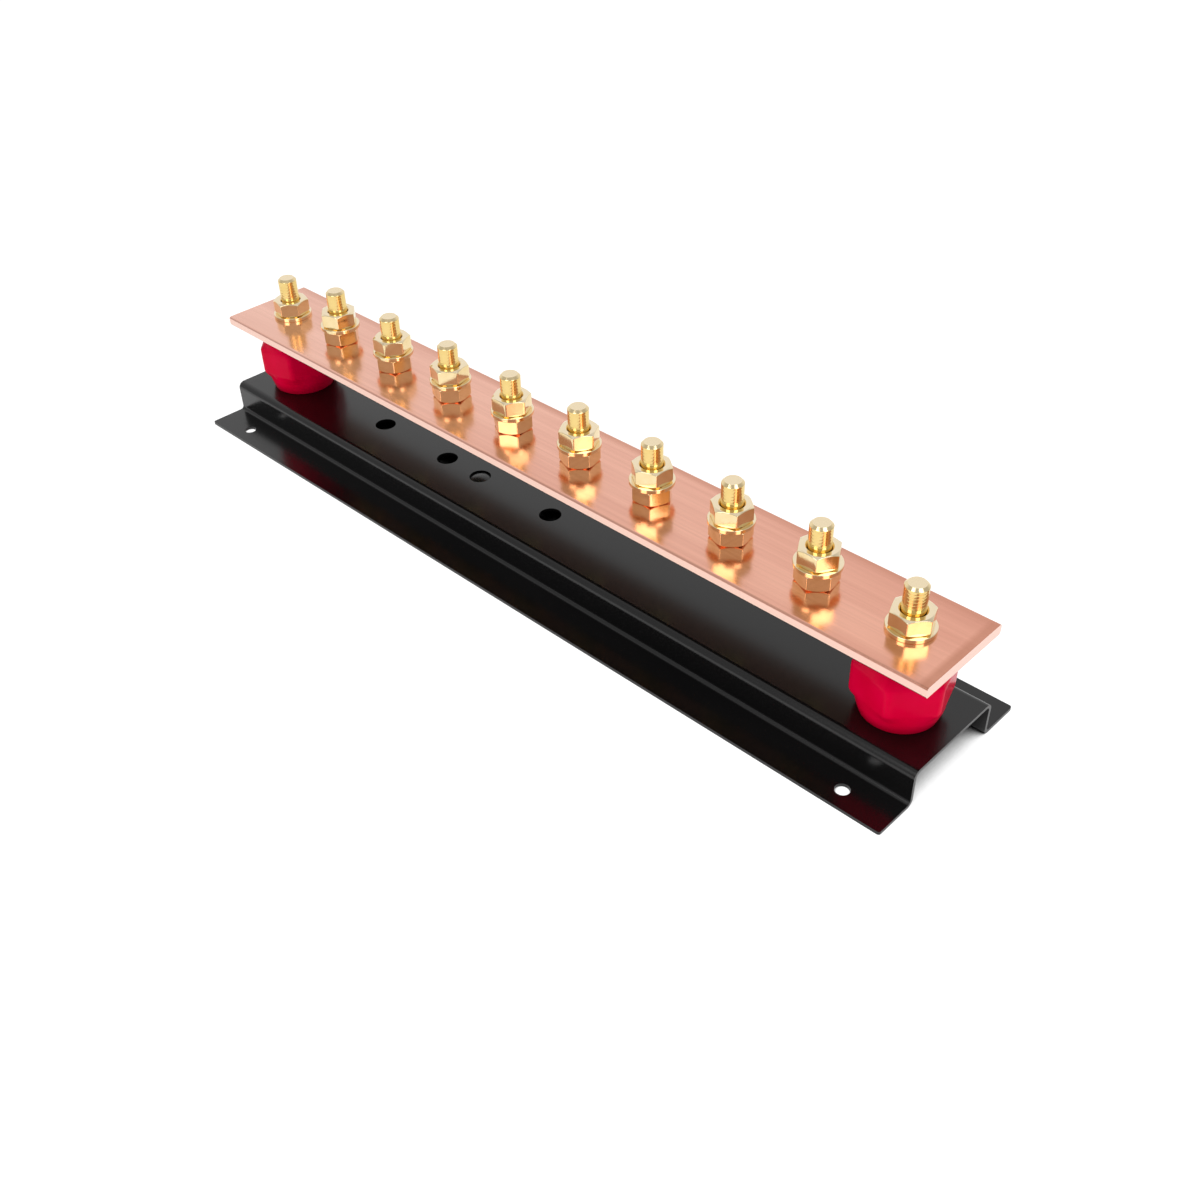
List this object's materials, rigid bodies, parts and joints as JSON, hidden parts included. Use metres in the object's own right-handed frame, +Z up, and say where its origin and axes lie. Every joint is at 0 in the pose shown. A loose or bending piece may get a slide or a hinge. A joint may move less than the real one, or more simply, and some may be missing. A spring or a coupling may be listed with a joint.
{
  "type": "rack grounding busbar",
  "caption": "Flat copper grounding bar with a row of brass bolt terminals, raised on insulators above a folded black steel mounting channel.",
  "frame": {"origin": "centre of the object at the underside of the mounting flanges", "axes": "+X along the bar, towards the end nearest the picture's viewer; +Z up, out of the mounting face; +Y across the bar"},
  "size_m": [0.356, 0.075, 0.068],
  "materials": {
    "black_coat": "fine satin black powder coat on folded steel",
    "black_plastic": "moulded",
    "copper": "bare rolled copper with a fine lengthwise grain",
    "brass": "bright turned brass",
    "crimson": "glossy moulded polyester",
    "zinc": "zinc plated"
  },
  "bodies": {
    "root": {"bracket": "black_coat", "hole_plug": "black_plastic", "busbar": "copper", "insulator_left": "crimson", "insulator_right": "crimson", "top_insert_left": "brass", "top_insert_right": "brass", "bottom_insert_left": "brass", "bottom_insert_right": "brass", "insulator_screw_left": "zinc", "insulator_screw_right": "zinc", "spring_washer_left": "zinc", "spring_washer_right": "zinc", "end_stud_left": "brass", "end_stud_right": "brass", "end_washer_left": "brass", "end_washer_right": "brass", "end_nut_left": "brass", "end_nut_right": "brass", "bolt_1": "brass", "bolt_2": "brass", "bolt_3": "brass", "bolt_4": "brass", "bolt_5": "brass", "bolt_6": "brass", "bolt_7": "brass", "bolt_8": "brass", "lower_nut_1": "brass", "lower_nut_2": "brass", "lower_nut_3": "brass", "lower_nut_4": "brass", "lower_nut_5": "brass", "lower_nut_6": "brass", "lower_nut_7": "brass", "lower_nut_8": "brass", "washer_1": "brass", "washer_2": "brass", "washer_3": "brass", "washer_4": "brass", "washer_5": "brass", "washer_6": "brass", "washer_7": "brass", "washer_8": "brass", "upper_nut_1": "brass", "upper_nut_2": "brass", "upper_nut_3": "brass", "upper_nut_4": "brass", "upper_nut_5": "brass", "upper_nut_6": "brass", "upper_nut_7": "brass", "upper_nut_8": "brass"}
  },
  "joints": []
}
